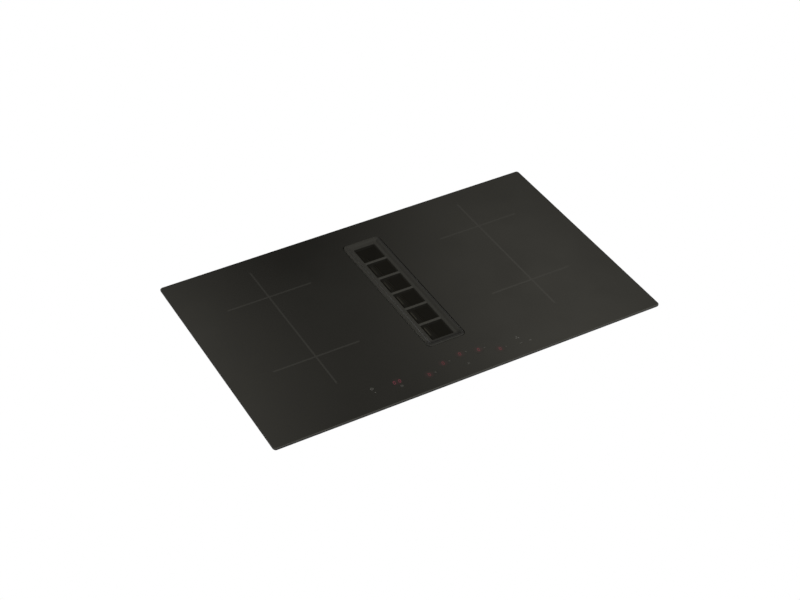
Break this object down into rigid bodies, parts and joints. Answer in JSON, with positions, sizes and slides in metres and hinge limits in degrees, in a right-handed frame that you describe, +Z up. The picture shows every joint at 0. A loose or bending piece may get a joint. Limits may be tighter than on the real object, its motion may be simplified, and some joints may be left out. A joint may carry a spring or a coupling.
{
  "type": "downdraft induction cooktop",
  "caption": "Black glass induction cooktop for a worktop cut-out, with a cast downdraft grille between the zones, lift-out filter and tray, and a blower housing with rear flat-duct outlet",
  "frame": {"origin": "the middle of the glass plate in plan, on the worktop's top face, which is the underside of the seal", "axes": "+X to the cook's right, +Y to the wall side, +Z up"},
  "size_m": [0.83, 0.52, 0.2072],
  "materials": {
    "ceramic_glass": "black glass ceramic, printed warm black, polished",
    "foam_seal": "closed-cell foam tape",
    "grey_sheet": "galvanised sheet steel",
    "dark_sheet": "black powder coat",
    "grille_iron": "matt black enamel on a casting",
    "pad_rubber": "soft rubber",
    "filter_steel": "perforated stainless steel",
    "housing_plastic": "dark grey glass-filled plastic",
    "tray_plastic": "grey plastic",
    "mica": "mica sheet",
    "copper": "enamelled copper litz wire",
    "carrier_plastic": "heat-proof plastic",
    "ferrite": "sintered ferrite",
    "plate_aluminium": "plain aluminium sheet",
    "board_green": "circuit board",
    "component_plastic": "moulded components",
    "sink_aluminium": "extruded aluminium",
    "fan_plastic": "black plastic",
    "impeller_plastic": "light grey plastic",
    "display_black": "display modules",
    "spring_steel": "plated spring steel",
    "motor_metal": "zinc-plated motor can",
    "shaft_steel": "ground steel",
    "terminal_plastic": "light grey plastic",
    "screw_steel": "zinc-plated screws"
  },
  "bodies": {
    "root": {"glass_top": "ceramic_glass", "glass_seal": "foam_seal", "intake_collar": "dark_sheet", "intake_well": "housing_plastic", "base_pan": "grey_sheet", "worktop_clips": "spring_steel", "board_posts": "carrier_plastic", "zone_sensors": "motor_metal", "control_holder": "carrier_plastic", "control_board": "board_green", "displays": "display_black", "touch_springs": "spring_steel", "fan_tub": "housing_plastic", "fan_lid": "housing_plastic", "duct_seal": "foam_seal", "scroll_shell": "housing_plastic", "inlet_ring": "impeller_plastic", "motor": "motor_metal", "motor_grommets": "pad_rubber", "outlet_spigot": "housing_plastic", "terminal_box": "terminal_plastic", "terminal_lid": "terminal_plastic", "terminal_block": "terminal_plastic", "cable_bush": "pad_rubber", "housing_screws": "screw_steel", "mica_sheet_left": "mica", "coil_plate_left": "plate_aluminium", "power_board_left": "board_green", "heat_sink_left": "sink_aluminium", "board_components_left": "component_plastic", "fan_frame_left": "fan_plastic", "mica_sheet_right": "mica", "coil_plate_right": "plate_aluminium", "power_board_right": "board_green", "heat_sink_right": "sink_aluminium", "board_components_right": "component_plastic", "fan_frame_right": "fan_plastic", "winding_rear_left": "copper", "coil_carrier_rear_left": "carrier_plastic", "ferrites_rear_left": "ferrite", "winding_rear_right": "copper", "coil_carrier_rear_right": "carrier_plastic", "ferrites_rear_right": "ferrite", "winding_front_left": "copper", "coil_carrier_front_left": "carrier_plastic", "ferrites_front_left": "ferrite", "winding_front_right": "copper", "coil_carrier_front_right": "carrier_plastic", "ferrites_front_right": "ferrite"},
    "blower": {"impeller": "impeller_plastic", "motor_shaft": "shaft_steel"},
    "fan_left": {"fan_rotor_left": "fan_plastic"},
    "fan_right": {"fan_rotor_right": "fan_plastic"},
    "drip_tray": {"drip_tray": "tray_plastic"},
    "filter": {"filter_frame": "filter_steel", "filter_baffles": "filter_steel"},
    "grille": {"grille": "grille_iron", "grille_pads": "pad_rubber"}
  },
  "joints": [
    {"name": "tray_lift", "type": "slide", "parent": "root", "child": "drip_tray", "axis": [0, 0, 1], "range_m": [0, 0.21]},
    {"name": "filter_lift", "type": "slide", "parent": "drip_tray", "child": "filter", "axis": [0, 0, 1], "range_m": [0, 0.1]},
    {"name": "grille_lift", "type": "slide", "parent": "filter", "child": "grille", "axis": [0, 0, 1], "range_m": [0, 0.06]},
    {"name": "blower_spin", "type": "hinge", "parent": "root", "child": "blower", "pos_m": [0.145, -0.035, -0.135], "axis": [0, 0, 1], "continuous": true},
    {"name": "fan_left_spin", "type": "hinge", "parent": "root", "child": "fan_left", "pos_m": [-0.345, -0.104, -0.04], "axis": [0, 0, 1], "continuous": true},
    {"name": "fan_right_spin", "type": "hinge", "parent": "root", "child": "fan_right", "pos_m": [0.345, -0.104, -0.04], "axis": [0, 0, 1], "continuous": true}
  ]
}
